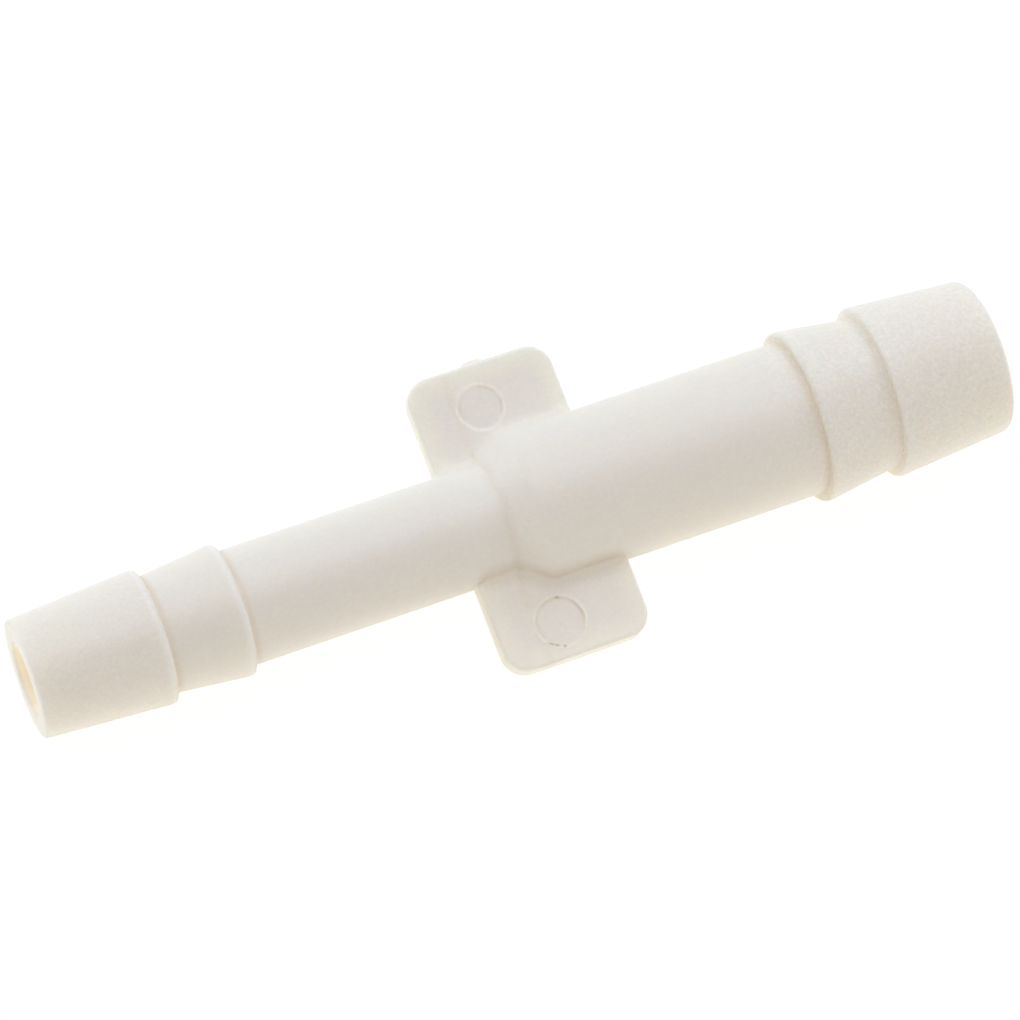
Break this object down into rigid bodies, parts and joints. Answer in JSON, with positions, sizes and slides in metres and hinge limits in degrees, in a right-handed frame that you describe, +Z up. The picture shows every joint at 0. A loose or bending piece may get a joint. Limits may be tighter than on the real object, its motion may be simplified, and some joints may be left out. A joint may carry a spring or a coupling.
{
  "type": "vacuum tubing connector",
  "caption": "Straight moulded reducing connector with barbed hose tails of two sizes, a through bore and a pair of flat grip wings at the step between them.",
  "frame": {"origin": "on the table, under the middle of the part as it lies on its side, with the tube's axis over y = 0", "axes": "+X runs from the small hose tail to the large one, level; the tube's own axis rises 1.691 degrees towards +X, because the part lies on one crest of each tail; the wings lean 25.55 degrees about that axis, with the rim of the -Y wing all but on the table and the +Y wing up; +Z is up"},
  "size_m": [0.0412, 0.0117, 0.0072],
  "materials": {
    "off_white_plastic": "natural, slightly translucent plastic with a fine spark-eroded mould grain"
  },
  "bodies": {
    "root": {"connector_body": "off_white_plastic"}
  },
  "joints": []
}
